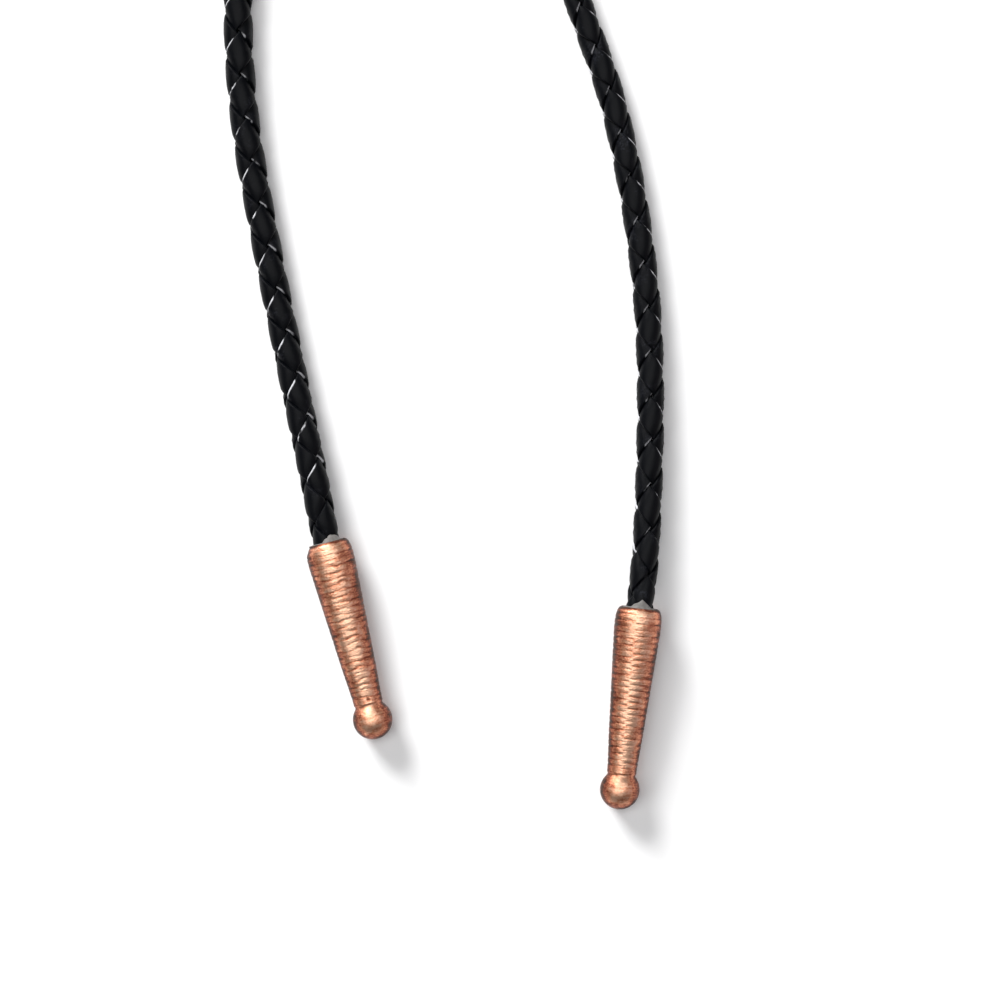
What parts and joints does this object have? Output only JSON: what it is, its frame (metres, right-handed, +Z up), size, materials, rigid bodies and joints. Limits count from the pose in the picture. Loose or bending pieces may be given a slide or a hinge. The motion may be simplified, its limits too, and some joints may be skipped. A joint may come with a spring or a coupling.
{
  "type": "bolo tie",
  "caption": "Bolo tie lying flat: a braided leather cord looped for the neck through a plain oval slide, with a ridged, ball-ended metal tip on each tail.",
  "frame": {"origin": "middle of the slide's flat back, on the surface that the tie lies on", "axes": "+Z up out of the surface, +Y from the slide towards the neck loop, the tails run towards -Y, +X to the right seen from above"},
  "size_m": [0.0809, 0.4839, 0.0112],
  "materials": {
    "braided_leather": "black four-strand round braid, waxed and glossy",
    "antique_copper": "cast metal plated in copper, antiqued dark in its grooves and rubbed bright on its ridges",
    "dried_glue": "dried grey adhesive, dull"
  },
  "bodies": {
    "root": {"bolo_cord": "braided_leather", "slide": "antique_copper", "tip_left": "antique_copper", "tip_right": "antique_copper", "glue_left": "dried_glue", "glue_right": "dried_glue"}
  },
  "joints": []
}
